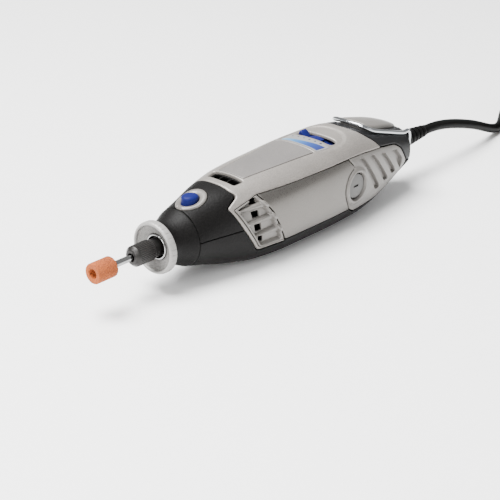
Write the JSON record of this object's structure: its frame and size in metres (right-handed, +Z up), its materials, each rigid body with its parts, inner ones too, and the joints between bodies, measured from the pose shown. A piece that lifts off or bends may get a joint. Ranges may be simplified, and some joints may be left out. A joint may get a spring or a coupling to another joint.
{
  "type": "rotary hobby tool",
  "caption": "Hand-held rotary tool with a screwed nose cap, collet and grinding point, shaft lock button, speed slider, folding hanger bail and a coiled mains cord with a round-pin plug.",
  "frame": {"origin": "on the surface the flat belly rests on, at the middle of the tool's own length (grinding point to cord boot) and width", "axes": "+X along the spindle axis to the tail where the cord leaves, +Z up; the nose and the grinding point are toward -X"},
  "size_m": [0.4051, 0.0795, 0.0473],
  "materials": {
    "black_plastic": "fine textured black plastic",
    "grey_plastic": "light grey moulded plastic, fine grain",
    "dark_plastic": "dark grey moulded plastic",
    "silver_paint": "satin silver paint",
    "blue_plastic": "glossy blue plastic",
    "label": "printed scale, blue wedge with dots",
    "steel": "turned steel",
    "black_steel": "blackened steel, knurled",
    "chrome": "polished chrome wire",
    "stone": "orange brown abrasive, rough",
    "rubber": "soft black rubber",
    "copper": "enamelled copper wire and copper bars",
    "laminations": "stacked electrical steel",
    "carbon": "pressed carbon",
    "board": "green circuit board",
    "brass": "plain brass"
  },
  "bodies": {
    "housing": {"lower_shell": "black_plastic", "front_upper_shell": "black_plastic", "upper_shell": "grey_plastic", "vent_grille_right": "grey_plastic", "vent_grille_left": "grey_plastic", "side_plate_right": "silver_paint", "side_plate_left": "silver_paint", "rear_panel_right": "grey_plastic", "rear_panel_left": "grey_plastic", "top_vent": "dark_plastic", "tail_band": "dark_plastic", "tail_hump": "grey_plastic", "button_plate": "grey_plastic", "lock_spring": "steel", "spindle_sleeve": "laminations", "front_bearing": "steel", "rear_spindle_bearing": "steel", "motor_front_bearing": "steel", "motor_rear_bearing": "steel", "stator_core": "laminations", "field_coil_top": "copper", "field_coil_bottom": "copper", "brush_holder_right": "brass", "brush_holder_left": "brass", "carbon_brush_right": "carbon", "carbon_brush_left": "carbon", "speed_board": "board", "speed_scale": "label", "cord_boot": "rubber", "power_cord": "rubber", "cord_coil": "rubber", "plug_body": "rubber", "plug_pin_1": "brass", "plug_pin_2": "brass", "housing_screw_1": "steel", "housing_screw_2": "steel", "housing_screw_3": "steel", "housing_screw_4": "steel"},
    "rotor": {"spindle": "steel", "collet": "brass", "drive_coupling": "rubber", "armature_shaft": "steel", "armature_winding": "copper", "armature_core": "laminations", "commutator": "copper", "cooling_fan": "dark_plastic"},
    "nut": {"collet_nut": "black_steel"},
    "bit": {"bit_shank": "steel", "grinding_stone": "stone"},
    "nose": {"nose_ring": "grey_plastic", "wrench_insert": "steel", "nose_cap": "black_plastic"},
    "lock": {"lock_button": "blue_plastic", "lock_pin": "steel"},
    "slider": {"speed_slider": "blue_plastic"},
    "bail": {"hanger_bail": "chrome"},
    "cap_right": {"brush_cap_right": "dark_plastic"},
    "cap_left": {"brush_cap_left": "dark_plastic"}
  },
  "joints": [
    {"name": "spindle_spin", "type": "hinge", "parent": "housing", "child": "rotor", "pos_m": [-0.0854, 0, 0.022], "axis": [1, 0, 0], "continuous": true},
    {"name": "collet_nut_turn", "type": "hinge", "parent": "rotor", "child": "nut", "pos_m": [-0.0854, 0, 0.022], "axis": [1, 0, 0], "range_deg": [0, 720]},
    {"name": "bit_slide", "type": "slide", "parent": "rotor", "child": "bit", "axis": [-1, 0, 0], "range_m": [0, 0.016]},
    {"name": "nose_cap_turn", "type": "hinge", "parent": "housing", "child": "nose", "pos_m": [-0.0854, 0, 0.022], "axis": [1, 0, 0], "range_deg": [0, 1080]},
    {"name": "shaft_lock_press", "type": "slide", "parent": "housing", "child": "lock", "axis": [0, 0, -1], "range_m": [0, 0.002], "stiffness_N_per_m": 800, "deforming": ["lock_spring"]},
    {"name": "speed_slider_turn", "type": "hinge", "parent": "housing", "child": "slider", "pos_m": [0.0296, 0, 0.022], "axis": [1, 0, 0], "range_deg": [0, 40]},
    {"name": "hanger_fold", "type": "hinge", "parent": "housing", "child": "bail", "pos_m": [0.0932, 0, 0.023], "axis": [0, 1, 0], "range_deg": [0, 130]},
    {"name": "brush_cap_right_turn", "type": "hinge", "parent": "housing", "child": "cap_right", "pos_m": [0.0361, -0.0188, 0.022], "axis": [0, 1, 0], "range_deg": [0, 720]},
    {"name": "brush_cap_left_turn", "type": "hinge", "parent": "housing", "child": "cap_left", "pos_m": [0.0361, 0.0188, 0.022], "axis": [0, 1, 0], "range_deg": [0, 720]}
  ]
}
